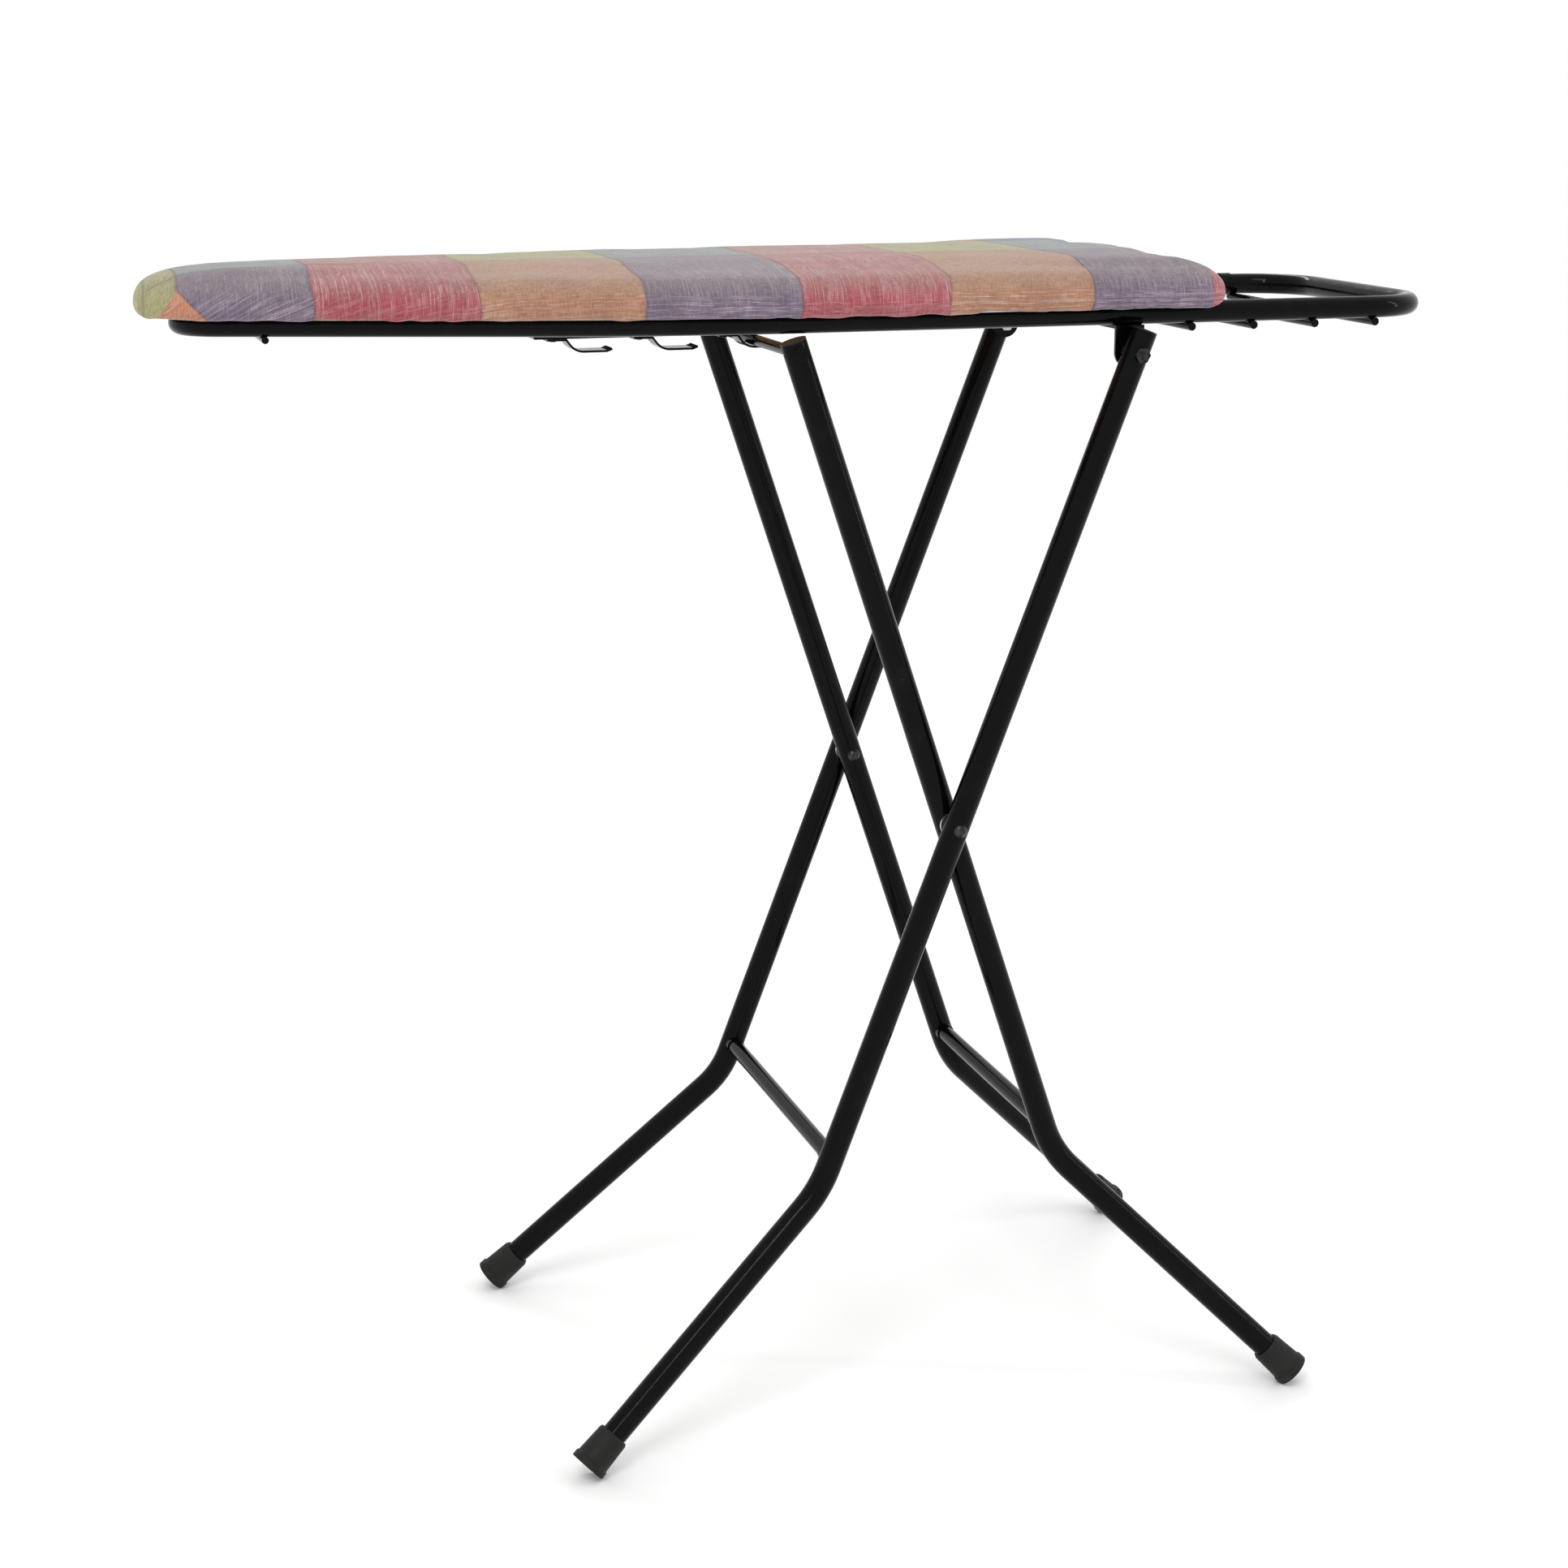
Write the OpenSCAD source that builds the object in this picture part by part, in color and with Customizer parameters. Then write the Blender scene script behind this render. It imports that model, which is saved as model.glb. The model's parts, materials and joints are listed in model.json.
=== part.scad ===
// Folding ironing board with a tube frame, crossed legs and an iron rest.
// X runs along the board, nose at -X and iron rest at +X. Y runs across it, front side at -Y.
// The origin is on the floor, under the middle of the overall length.

/* [Board] */
// Length of the panel from nose tip to square end
board_l = 754; // [680:1:900]
// Width of the panel
board_w = 292; // [280:1:330]
// Thickness of the panel
panel_t = 12; // [9:0.5:18]
// Radius of the rounded nose
nose_r = 57; // [50:1:70]
// Angle between the board's axis and each tapered side
taper = 17; // [14:0.5:20]
// Radius that blends each tapered side into the straight side
shoulder_r = 711; // [400:1:800]
// Radius of the two corners at the square end
corner_r = 18; // [8:1:30]
// Thickness of the pad
pad_t = 13; // [6:0.5:18]
// Thickness of the cover cloth as a solid
cover_t = 2; // [1:0.1:3]
// Width of the hem turned under the panel
hem_w = 14; // [8:1:18]
// Width of the elastic stitched under the hem
elastic_w = 6; // [4:0.5:8]
// Thickness of the elastic
elastic_t = 1.2; // [0.8:0.1:2]
// Distance of the elastic's ends from the square end
elastic_end = 40; // [30:1:80]

/* [Frame] */
// Outer diameter of the frame tube
frame_d = 16; // [14:0.5:18]
// Wall of the frame tube
frame_wall = 1.2; // [0.8:0.1:2]
// How far the panel's edge stands out past the tube's centre line
overhang = 27; // [24:1:36]
// Length of the iron rest past the panel's square end, to the tube's centre line
rest_l = 177; // [140:1:220]
// Bend radius of the iron rest's two corners, on the centre line
rest_corner_r = 50; // [30:1:70]
// Distance between cross rods, and from the last one to the end tube
rest_pitch = 49; // [30:1:56]
// Diameter of the iron rest's cross rods
rest_rod_d = 6; // [5:0.5:8]
// Distance from the nose tip of the panel to the nose cross rod
nose_rod_x = 80; // [70:1:120]
// Diameter of the nose cross rod
nose_rod_d = 5; // [4:0.5:6]
// How deep a welded rod sinks into the tube
weld_sink = 0.6; // [0.3:0.1:1]
// Length of the sleeve over the tube's joint
sleeve_l = 9; // [6:0.5:20]
// Wall of that sleeve
sleeve_wall = 0.8; // [0.5:0.1:1.5]

/* [Mounting tabs] */
// Length of a tab along the tube
tab_l = 22; // [16:1:30]
// How far a tab reaches in from the tube's centre line
tab_reach = 24; // [20:1:30]
// Thickness of a tab
tab_t = 2; // [1.5:0.1:3]
// Distance of the tabs from the board's square end
tab_x = [60, 250, 560]; // [40:1:700]

/* [Leg tubes] */
// Outer diameter of the leg tubes
leg_d = 19; // [17:0.5:20]
// Wall of the leg tubes
leg_wall = 1.2; // [0.8:0.1:2]
// Height of the frame tube's centre line above the floor
frame_z = 824.5; // [800:0.5:860]
// Distance between the outer legs' centre lines
outer_w = 272; // [272:1:290]
// Distance from an inner leg's side to an outer leg's side
leg_gap = 2.5; // [2:0.1:4]
// Distance from a leg's top pivot to the crossing rivet
arm_l = 365.5; // [360:0.5:375]
// Distance from the pivot bolt to the outer legs' bend
outer_bend_l = 655; // [640:1:670]
// Distance from the catch bar to the inner legs' bend
inner_bend_l = 649; // [635:1:660]
// Run of the outer feet past the bend, along the board
outer_foot_run = 190; // [160:1:210]
// Run of the inner feet past the bend, along the board
inner_foot_run = 179; // [150:1:200]
// Distance between the outer feet's centre lines at the floor end
outer_foot_w = 357; // [320:1:380]
// Distance between the inner feet's centre lines at the floor end
inner_foot_w = 362; // [320:1:380]
// Bend radius of the legs
leg_bend_r = 75; // [50:1:80]
// Diameter of the struts
strut_d = 12.7; // [10:0.1:16]
// Distance from a leg's bend up to its strut
strut_up = 26; // [24:1:60]
// How far an outer leg's top stands past its bolt
outer_top = 17; // [14:0.5:18]
// How far an inner leg's top stands past the catch bar
inner_top = 8; // [7.5:0.5:9]

/* [Pivots] */
// Distance of the pivot bolts from the panel's square end
pivot_inset = 68; // [50:1:100]
// Drop from the frame tube's centre line to the pivot bolts
pivot_drop = 27.5; // [26:0.5:32]
// Thickness of the bracket's strip
bracket_t = 2.5; // [2:0.1:4]
// Width of the bracket's strip along the board
bracket_w = 22; // [18:1:28]
// Diameter of the pivot bolts and crossing rivets
pin_d = 6; // [5:0.5:7]
// Radial clearance of a turning leg on its pin
running = 0.08; // [0.05:0.01:0.1]
// Gap that keeps a turning leg off the parts beside it
side_play = 0.3; // [0.3:0.05:0.5]
// Hexagon of the bolt head and nut, across flats
hex_af = 10; // [9:0.5:13]
// Height of the bolt head and nut
hex_h = 4.5; // [3:0.5:6]
// Radius of the crossing rivet's heads
rivet_r = 5; // [4.5:0.1:7]
// Height of the crossing rivet's heads
rivet_h = 3; // [2:0.1:4]

/* [Height hooks] */
// Distance from the pivot bolts to the catch bar in its hook
bar_run = 247; // [240:0.5:255]
// Height of the catch bar above the pivot bolts
bar_rise = 5.5; // [5:0.1:6]
// Distance between two height hooks
hook_pitch = 64; // [60:1:70]
// Diameter of the catch bar
bar_d = 8; // [7:0.5:9]
// Width of the hook strip across the board
hook_w = 20; // [16:1:24]
// Thickness of the hook strip
hook_t = 1.6; // [1.2:0.1:2.5]
// Inside radius of a hook's curve
hook_r = 12; // [9:0.5:14]
// Length of a hook's lip from the middle of its curve
lip_l = 17; // [12:1:20]
// Gap between the catch bar and the hook or its carrier
bar_play = 0.3; // [0.2:0.05:0.6]
// Gap at the middle of the catch bar, on each side of the hook strip
open_play = 0.8; // [0.5:0.1:2]
// Thickness of the hook carrier's strip
carrier_t = 2; // [1.5:0.1:3]
// Length of the carrier's end flanges
flange_l = 36; // [30:1:45]

/* [Feet] */
// Diameter of a rubber foot at its open end
foot_top_d = 24; // [23:0.5:28]
// Diameter of a rubber foot at its sole
foot_sole_d = 28; // [27:0.5:32]
// Length of a rubber foot
foot_l = 30; // [24:1:40]
// Thickness of the foot's sole
sole_t = 6; // [4:0.5:10]
// Depth of the flat that the floor presses into a sole's edge
sole_flat = 1; // [0.5:0.1:2]

/* [Hidden] */
$fn = 64;

// Numbers of repeated pieces, one node each
rest_rods = 4;
hook_count = 3;

// Colours
steel_black = [0.06, 0.06, 0.07];
zinc = [0.72, 0.72, 0.74];
rubber_black = [0.03, 0.03, 0.03];

// Plan of the board, from the overall length
half_w = board_w / 2;
half_frame = half_w - overhang;
total_l = board_l + cover_t + rest_l + frame_d / 2;
nose_x = -total_l / 2 + cover_t;
nose_c = nose_x + nose_r;
panel_end = nose_x + board_l;
rest_end = panel_end + rest_l;

// Heights
panel_z = frame_z + frame_d / 2;
pad_z = panel_z + panel_t;
under_z = frame_z - frame_d / 2;

// Top pivots of the legs, the crossing and the bends, as [x, z]
pivot = [panel_end - pivot_inset, frame_z - pivot_drop];
bar = pivot + [-bar_run, bar_rise];
base_l = norm(bar - pivot);
base_tilt = atan2(bar_rise, bar_run);
spread = acos(base_l / 2 / arm_l);
outer_dir = [-cos(spread - base_tilt), -sin(spread - base_tilt)];
inner_dir = [cos(spread + base_tilt), -sin(spread + base_tilt)];
crossing = pivot + arm_l * outer_dir;
outer_bend = pivot + outer_bend_l * outer_dir;
inner_bend = bar + inner_bend_l * inner_dir;

// Sideways places of the legs' centre lines
outer_y = outer_w / 2;
inner_y = outer_y - leg_d - leg_gap;
pin_r = pin_d / 2;
leg_r = leg_d / 2;

// Screws
screw_r = 1.75;
screw_l = 9;
screw_head_r = 3.6;
screw_top_r = 2.5;
screw_head_h = 2.2;

// Sole edge of a foot rests on the floor: height of the sole's centre
function foot_end(bend, run, y0, y1, way, n = 6) =
    n == 0 ? [bend[0] + way * run, y1, foot_sole_d / 4]
    : let (guess = foot_end(bend, run, y0, y1, way, n - 1),
        d = unit(guess - [bend[0], y0, bend[1]]))
    [bend[0] + way * run, y1, foot_sole_d / 2 * sqrt(1 - d[2] * d[2]) - sole_flat];

function unit(v) = v / norm(v);
function turn(p, q, r) = acos(unit(q - p) * unit(r - q));
function setback(p, q, r, bend_r) = bend_r * tan(turn(p, q, r) / 2);

// Rounded corner q of the path p-q-r as points, from its start to its end
function corner_points(p, q, r, bend_r, steps) =
    let (a = unit(q - p), b = unit(r - q), side = sign(a[0] * b[1] - a[1] * b[0]),
        start = q - a * setback(p, q, r, bend_r), centre = start + side * bend_r * [-a[1], a[0]],
        swing = turn(p, q, r))
    [for (i = [0 : steps]) centre + rot2(start - centre, side * swing * i / steps)];
function rot2(v, angle) = [v[0] * cos(angle) - v[1] * sin(angle), v[0] * sin(angle) + v[1] * cos(angle)];

// Corners of the board's plan, grown by e past the panel's edge, with its square end at x = end
function apex(e) = nose_c - (nose_r + e) / sin(taper);
function plan_corners(e, end) =
    let (y = half_w + e, x = apex(e) + y / tan(taper))
    [[apex(e), 0], [x, y], [end, y], [end, -y], [x, -y]];
function plan_radii(e, end_r) = [nose_r + e, shoulder_r + e, end_r, end_r, shoulder_r + e];
function plan(e, end_r) =
    let (c = plan_corners(e, panel_end + e), rad = plan_radii(e, end_r), steps = [28, 8, 8, 8, 8], n = len(c))
    [for (i = [0 : n - 1]) each corner_points(c[(i + n - 1) % n], c[i], c[(i + 1) % n], rad[i], steps[i])];

// Strip of thickness t whose middle follows a path in its own plane
function side_point(path, i, d) =
    let (n = len(path), a = i == 0 ? path[1] - path[0] : path[i] - path[i - 1],
        b = i == n - 1 ? a : path[i + 1] - path[i], ua = unit(a), ub = unit(b),
        na = [-ua[1], ua[0]], nb = [-ub[1], ub[0]], m = unit(na + nb))
    path[i] + m * d / (m * na);
function strip(path, t) = concat([for (i = [0 : len(path) - 1]) side_point(path, i, t / 2)],
    [for (i = [len(path) - 1 : -1 : 0]) side_point(path, i, -t / 2)]);

// ---- shared shapes ----

// Hair gap between the straight and bent stretches of one tube, which keeps each an exact solid
seam = 0.005;

// Cylinder from a to b
module rod(a, b, r) {
    d = b - a;
    translate(a) rotate([0, acos(d[2] / norm(d)), atan2(d[1], d[0])]) cylinder(h = norm(d), r = r);
}

// Section of a tube, or of a solid bar where wall is 0
module ring(r, wall) {
    difference() {
        circle(r = r, $fn = 24);
        if (wall > 0) circle(r = r - wall, $fn = 24);
    }
}

// Straight tube from a to b
module straight(a, b, r, wall) {
    d = b - a;
    translate(a) rotate([0, acos(d[2] / norm(d)), atan2(d[1], d[0])])
        linear_extrude(height = norm(d)) ring(r, wall);
}

// Elbow at corner q of the path p-q-r
module elbow(p, q, r, bend_r, tube_r, wall) {
    a = unit(q - p);
    b = unit(r - q);
    start = q - a * setback(p, q, r, bend_r);
    inward = unit(b - a * (a * b));
    centre = start + inward * bend_r;
    up = cross(-inward, a);
    multmatrix([[-inward[0], a[0], up[0], centre[0]], [-inward[1], a[1], up[1], centre[1]],
        [-inward[2], a[2], up[2], centre[2]]])
        rotate_extrude(angle = turn(p, q, r), $fn = bend_r > 200 ? 144 : 72) translate([bend_r, 0])
            ring(tube_r, wall);
}

// Straight stretches before and after the bend of the path p-q-r
module first_stretch(p, q, r, bend_r, tube_r, wall) {
    straight(p, q - unit(q - p) * (setback(p, q, r, bend_r) + seam), tube_r, wall);
}
module last_stretch(p, q, r, bend_r, tube_r, wall) {
    straight(q + unit(r - q) * (setback(p, q, r, bend_r) + seam), r, tube_r, wall);
}

// Part of the frame's closed path: the numbered elbows, and the straights that follow the numbered corners
module frame_part(elbows, straights) {
    c = [for (p = plan_corners(-overhang, rest_end)) [p[0], p[1], frame_z]];
    rad = plan_radii(-overhang, rest_corner_r);
    n = len(c);
    back = [for (i = [0 : n - 1]) setback(c[(i + n - 1) % n], c[i], c[(i + 1) % n], rad[i])];
    for (i = elbows) elbow(c[(i + n - 1) % n], c[i], c[(i + 1) % n], rad[i], frame_d / 2, frame_wall);
    for (i = straights) {
        j = (i + 1) % n;
        way = unit(c[j] - c[i]);
        straight(c[i] + way * (back[i] + seam), c[j] - way * (back[j] + seam), frame_d / 2, frame_wall);
    }
}

// Slab with the board's plan
module slab(e, end_r, z, t) {
    translate([0, 0, z]) linear_extrude(height = t) polygon(plan(e, end_r));
}

// Strip in the XZ plane, width w across the board, centred on y = 0
module xz_strip(path, t, w) {
    translate([0, w / 2, 0]) rotate([90, 0, 0]) linear_extrude(height = w) polygon(strip(path, t));
}

// Wood screw pointing up: its head's top face is at z, its shank enters the panel
module wood_screw(x, y, z) {
    translate([x, y, z - screw_head_h]) cylinder(h = screw_head_h, r1 = screw_top_r, r2 = screw_head_r);
    translate([x, y, z]) cylinder(h = screw_l, r = screw_r);
}

module both_sides() {
    children();
    mirror([0, 1, 0]) children();
}

// ---- soft parts ----

// Gap round each tube where it passes out through the hem
hem_slack = 1;
notch_w = frame_d + 2 * hem_slack;
notch_l = hem_w + hem_slack;

module cover() {
    color("plum") difference() {
        slab(cover_t, corner_r + cover_t, panel_z - cover_t, panel_t + pad_t + 2 * cover_t);
        slab(0, corner_r, panel_z, panel_t + pad_t);
        slab(-hem_w, corner_r, panel_z - 2 * cover_t, 3 * cover_t);
        both_sides() translate([panel_end - notch_l, half_frame - notch_w / 2, panel_z - 2 * cover_t])
            cube([notch_l + cover_t + 1, notch_w, 2 * cover_t]);
    }
}

module pad() {
    color("ivory") slab(0, corner_r, pad_z, pad_t);
}

module hem_elastic() {
    color("white") difference() {
        slab(-hem_w + elastic_w, corner_r, panel_z - cover_t - elastic_t, elastic_t);
        slab(-hem_w, corner_r, panel_z - cover_t - 2 * elastic_t, 3 * elastic_t);
        translate([panel_end - elastic_end, -board_w, panel_z - cover_t - 2 * elastic_t])
            cube([elastic_end + 1, 2 * board_w, 3 * elastic_t]);
    }
}

// ---- board and frame ----

carrier_low = bar[1] + bar_d / 2 + bar_play;
carrier_rise = panel_z - carrier_low;
hook_back = hook_r + hook_t;
carrier_past = 8;
carrier_slope = 12;
hook_flange_l = 14;
carrier_left = bar[0] - hook_pitch * (hook_count - 1) - hook_back - hook_flange_l - carrier_past;
carrier_right = bar[0] + lip_l + 6;
screw_inset = 10;
carrier_holes = [carrier_left - carrier_slope - flange_l + screw_inset,
    carrier_right + carrier_slope + flange_l - screw_inset];
screw_spread = hook_w / 2 - screw_inset / 2;

module board_panel() {
    color("burlywood") difference() {
        slab(0, corner_r, panel_z, panel_t);
        at_tabs() translate([0, tab_hole_y, 0]) cylinder(h = screw_l, r = screw_r);
        for (x = carrier_holes, y = [-screw_spread, screw_spread])
            translate([x, y, panel_z - 1]) cylinder(h = screw_l - carrier_t + 1, r = screw_r);
    }
}

// Tube round the nose and its tapered sides, up to the straight sides
module nose_tube() {
    color(steel_black) frame_part([0, 1, 4], [0, 4]);
}

// Tube along the straight sides and round the iron rest, butt-welded to the nose tube
module rest_tube() {
    color(steel_black) frame_part([2, 3], [1, 2, 3]);
}

// Space between the sleeve and the last cross rod
sleeve_space = 1;

module tube_joint_sleeve() {
    r = frame_d / 2;
    x = rest_end - rest_pitch - rest_rod_d / 2 - sleeve_space - sleeve_l;
    color(steel_black) translate([x, half_frame, frame_z]) rotate([0, 90, 0]) difference() {
        cylinder(h = sleeve_l, r = r + sleeve_wall);
        translate([0, 0, -1]) cylinder(h = sleeve_l + 2, r = r);
    }
}

// Half the distance between the two tubes' centre lines at x, in the tapered nose
function taper_y(x) = (x - apex(-overhang)) * tan(taper);

// Point on the back tapered tube's centre line at x
function taper_point(x) = [x, taper_y(x), frame_z];

// How far a cross rod ends past the tube's centre line
rod_past = 5;

module nose_cross_rod() {
    x = nose_x + nose_rod_x;
    y = taper_y(x);
    z = under_z - nose_rod_d / 2 + weld_sink;
    reach = 2 * frame_d;
    color(steel_black) difference() {
        rod([x, -y - rod_past, z], [x, y + rod_past, z], nose_rod_d / 2);
        both_sides() rod(taper_point(x - reach), taper_point(x + reach), frame_d / 2);
    }
}

module rest_rod(i) {
    x = rest_end - rest_pitch * (rest_rods - i);
    z = under_z - rest_rod_d / 2 + weld_sink;
    y = half_frame;
    color(steel_black) difference() {
        rod([x, -y - rod_past, z], [x, y + rod_past, z], rest_rod_d / 2);
        both_sides() rod([x - frame_d, y, frame_z], [x + frame_d, y, frame_z], frame_d / 2);
    }
}

// Places a child at each tab: y = 0 is the tube's centre line, +y points in, z = 0 is the panel's underside
module at_tabs() {
    both_sides() for (d = tab_x) {
        x = panel_end - d;
        tapered = x < plan_corners(-overhang, rest_end)[1][0];
        translate([x, tapered ? -taper_y(x) : -half_frame, panel_z])
            rotate([0, 0, tapered ? -taper : 0]) children();
    }
}

tab_hole_y = tab_reach - 8;

module mounting_tabs() {
    color(steel_black) at_tabs() difference() {
        translate([-tab_l / 2, 0, -tab_t]) cube([tab_l, tab_reach, tab_t]);
        translate([-tab_l, 0, -frame_d / 2]) rotate([0, 90, 0]) cylinder(h = 2 * tab_l, r = frame_d / 2);
        translate([0, tab_hole_y, -2 * tab_t]) cylinder(h = 3 * tab_t, r = screw_r);
    }
}

module tab_screws() {
    color(zinc) at_tabs() wood_screw(0, tab_hole_y, -tab_t);
}

// ---- pivot bracket ----

washer_t = 1;
washer_r = pin_r * 2.1;
bolt_past = 1.5;

// Outer face of each bracket tab, a washer's thickness and the play inside the outer leg
tab_out = outer_y - leg_r - side_play - washer_t;

module pivot_bracket() {
    drop = under_z - pivot[1];
    x = pivot[0];
    color(steel_black) difference() {
        union() {
            translate([x - bracket_w / 2, -tab_out, under_z - bracket_t])
                cube([bracket_w, 2 * tab_out, bracket_t]);
            both_sides() translate([x - bracket_w / 2, tab_out - bracket_t, under_z - drop])
                cube([bracket_w, bracket_t, drop]);
            both_sides() translate([x, tab_out, pivot[1]]) rotate([90, 0, 0])
                cylinder(h = bracket_t, r = bracket_w / 2);
        }
        both_sides() translate([x, tab_out + 1, pivot[1]]) rotate([90, 0, 0])
            cylinder(h = bracket_t + 2, r = pin_r);
    }
}

// Cone that chamfers the hexagon's corners
hex_tip_r = hex_af * 0.18;
hex_slope = hex_af * 0.7;

module pivot_bolts() {
    head_y = outer_y + leg_r + side_play;
    color(zinc) both_sides() translate([pivot[0], head_y + hex_h, pivot[1]]) rotate([90, 0, 0]) {
        intersection() {
            cylinder(h = hex_h, r = hex_af / 2 / cos(30), $fn = 6);
            translate([0, 0, hex_h - hex_af])
                cylinder(h = hex_af, r1 = hex_tip_r, r2 = hex_tip_r + hex_slope);
        }
        cylinder(h = head_y + hex_h - tab_out + bracket_t + hex_h + bolt_past, r = pin_r);
    }
}

module pivot_nuts() {
    at = [pivot[0], tab_out - bracket_t, pivot[1]];
    color(zinc) both_sides() translate(at) rotate([90, 0, 0]) difference() {
        cylinder(h = hex_h, r = hex_af / 2 / cos(30), $fn = 6);
        translate([0, 0, -1]) cylinder(h = hex_h + 2, r = pin_r);
    }
}

module pivot_washers() {
    at = [pivot[0], tab_out + washer_t, pivot[1]];
    color(zinc) both_sides() translate(at) rotate([90, 0, 0]) difference() {
        cylinder(h = washer_t, r = washer_r);
        translate([0, 0, -1]) cylinder(h = washer_t + 2, r = pin_r);
    }
}

// ---- height hooks ----

module hook_carrier() {
    low = carrier_low + carrier_t / 2;
    high = panel_z - carrier_t / 2;
    path = [[carrier_left - carrier_slope - flange_l, high], [carrier_left - carrier_slope, high],
        [carrier_left, low], [carrier_right, low], [carrier_right + carrier_slope, high],
        [carrier_right + carrier_slope + flange_l, high]];
    color(steel_black) difference() {
        xz_strip(path, carrier_t, hook_w);
        for (x = carrier_holes, y = [-screw_spread, screw_spread])
            translate([x, y, panel_z - 2 * carrier_t]) cylinder(h = 3 * carrier_t, r = screw_r);
        at_hooks() hook_rivet_shank();
    }
}

module carrier_screws() {
    color(zinc) for (x = carrier_holes, y = [-screw_spread, screw_spread])
        wood_screw(x, y, panel_z - carrier_t);
}

// Places a child at each hook, with the catch bar's centre at the origin
module at_hooks() {
    for (i = [0 : hook_count - 1]) translate([bar[0] - hook_pitch * i, 0, bar[1]]) children();
}

hook_rivet_x = -hook_back - hook_flange_l / 2;
hook_rivet_r = 2;
hook_rivet_h = 1.2;
lip_tip_l = 4;
lip_tip_rise = 1.5;

module hook_rivet_shank() {
    top = carrier_low - bar[1];
    translate([hook_rivet_x, 0, top - hook_t]) cylinder(h = hook_t + carrier_t, r = hook_rivet_r);
}

// J hook around the catch bar: flange, web, curve, then a lip with its end turned up
module height_hook(i) {
    top = carrier_low - bar[1] - hook_t / 2;
    r = hook_r + hook_t / 2;
    lip_z = -bar_d / 2 - bar_play - hook_t / 2;
    curve = [for (k = [0 : 10]) [-r * cos(9 * k), lip_z + r - r * sin(9 * k)]];
    flange = [[-r - hook_flange_l, top], [-r, top]];
    web = curve[0][1] < top - 1 ? curve : [for (p = curve) if (p[1] < top - 2) p];
    path = concat(flange, web, [[lip_l, lip_z], [lip_l + lip_tip_l, lip_z + lip_tip_rise]]);
    color(steel_black) translate([bar[0] - hook_pitch * i, 0, bar[1]]) difference() {
        xz_strip(path, hook_t, hook_w);
        hook_rivet_shank();
    }
}

module hook_rivets() {
    top = carrier_low - bar[1];
    color(steel_black) at_hooks() {
        hook_rivet_shank();
        translate([hook_rivet_x, 0, top + carrier_t])
            cylinder(h = hook_rivet_h, r1 = 2 * hook_rivet_r, r2 = hook_rivet_r);
        translate([hook_rivet_x, 0, top - hook_t - hook_rivet_h])
            cylinder(h = hook_rivet_h, r1 = hook_rivet_r, r2 = 2 * hook_rivet_r);
    }
}

// ---- legs ----

outer_foot = foot_end(outer_bend, outer_foot_run, outer_y, outer_foot_w / 2, -1);
inner_foot = foot_end(inner_bend, inner_foot_run, inner_y, inner_foot_w / 2, 1);

// Three points of a back leg's centre line, top, bend and foot
function leg_top(top, dir, past, y) = [top[0] - dir[0] * past, y, top[1] - dir[1] * past];
function leg_path(top, dir, past, bend, y, foot) = [leg_top(top, dir, past, y), [bend[0], y, bend[1]], foot];
outer_path = leg_path(pivot, outer_dir, outer_top, outer_bend, outer_y, outer_foot);
inner_path = leg_path(bar, inner_dir, inner_top, inner_bend, inner_y, inner_foot);

// End of a leg's tube, on the sole inside its foot
function tube_end(path) = path[2] - unit(path[2] - path[1]) * sole_t;

// Bend and lower stretch of a leg
module lower_leg(path) {
    elbow(path[0], path[1], tube_end(path), leg_bend_r, leg_r, leg_wall);
    last_stretch(path[0], path[1], tube_end(path), leg_bend_r, leg_r, leg_wall);
}

// Upper stretch of a leg
module upper_leg(path) {
    first_stretch(path[0], path[1], tube_end(path), leg_bend_r, leg_r, leg_wall);
}

// Cross hole through a leg at [x, z]
module leg_hole(at, y, r) {
    translate([at[0], y + leg_d, at[1]]) rotate([90, 0, 0]) cylinder(h = 2 * leg_d, r = r);
}

module outer_leg() {
    color(steel_black) {
        lower_leg(outer_path);
        difference() {
            upper_leg(outer_path);
            leg_hole(pivot, outer_y, pin_r + running);
            leg_hole(crossing, outer_y, pin_r);
        }
    }
}

module inner_leg() {
    color(steel_black) {
        lower_leg(inner_path);
        difference() {
            upper_leg(inner_path);
            leg_hole(crossing, inner_y, pin_r + running);
            leg_hole(bar, inner_y, bar_d / 2);
        }
    }
}

module outer_leg_back() {
    outer_leg();
}

module outer_leg_front() {
    mirror([0, 1, 0]) outer_leg();
}

module inner_leg_back() {
    inner_leg();
}

module inner_leg_front() {
    mirror([0, 1, 0]) inner_leg();
}

weld_bead_l = 3;
weld_bead_h = 1;

// Round strut between a pair of legs, with a weld bead at each end
module strut(bend, dir, y, path) {
    at = bend - dir * strut_up;
    bead_l = leg_r + weld_bead_l;
    color(steel_black) difference() {
        union() {
            rod([at[0], -y, at[1]], [at[0], y, at[1]], strut_d / 2);
            both_sides() rod([at[0], y - bead_l, at[1]], [at[0], y, at[1]], strut_d / 2 + weld_bead_h);
        }
        both_sides() rod(path[0], path[1], leg_r);
    }
}

module outer_strut() {
    strut(outer_bend, outer_dir, outer_y, outer_path);
}

module inner_strut() {
    strut(inner_bend, inner_dir, inner_y, inner_path);
}

plug_cap = 1.2;
plug_l = 3.5;

// Plug in the open top of a leg, with a low cap
module plug(path) {
    way = unit(path[0] - path[1]);
    rod(path[0], path[0] + way * plug_cap, leg_r);
    rod(path[0] - way * plug_l, path[0], leg_r - leg_wall);
}

module outer_leg_plugs() {
    color(rubber_black) both_sides() plug(outer_path);
}

module inner_leg_plugs() {
    color(rubber_black) both_sides() plug(inner_path);
}

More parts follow.
